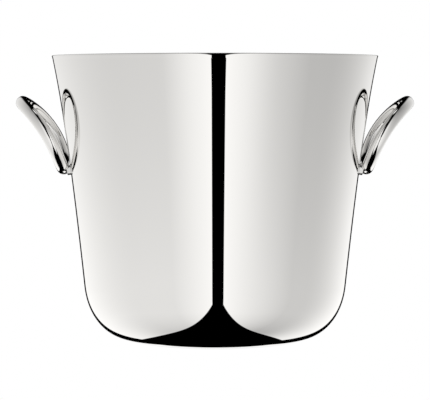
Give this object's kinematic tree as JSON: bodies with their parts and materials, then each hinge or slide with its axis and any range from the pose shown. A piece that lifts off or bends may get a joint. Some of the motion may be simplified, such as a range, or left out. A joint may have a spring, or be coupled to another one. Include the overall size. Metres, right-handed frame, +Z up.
{
  "type": "champagne bucket",
  "caption": "Tapered, mirror-polished champagne bucket with a rounded base and a bent hoop handle on each side.",
  "frame": {"origin": "centre of the base, on the surface the bucket stands on", "axes": "+Z up along the bucket's axis, +X towards the right-hand hoop"},
  "size_m": [0.2814, 0.2298, 0.1993],
  "materials": {
    "polished_steel": "mirror polished stainless steel",
    "polished_hoop": "cast, mirror polished",
    "satin_steel": "satin",
    "screw_steel": "bright turned",
    "silicone": "matt, food-grade silicone",
    "nylon": "natural nylon"
  },
  "bodies": {
    "root": {"backing_plate_left": "satin_steel", "backing_plate_right": "satin_steel", "bucket_shell": "polished_steel", "gasket_left": "silicone", "gasket_right": "silicone", "handle_hoop_left": "polished_hoop", "handle_hoop_right": "polished_hoop", "hoop_saddle_left": "polished_hoop", "hoop_saddle_right": "polished_hoop", "hoop_screws_left": "screw_steel", "hoop_screws_right": "screw_steel", "sealing_washers_left": "nylon", "sealing_washers_right": "nylon"}
  },
  "joints": []
}
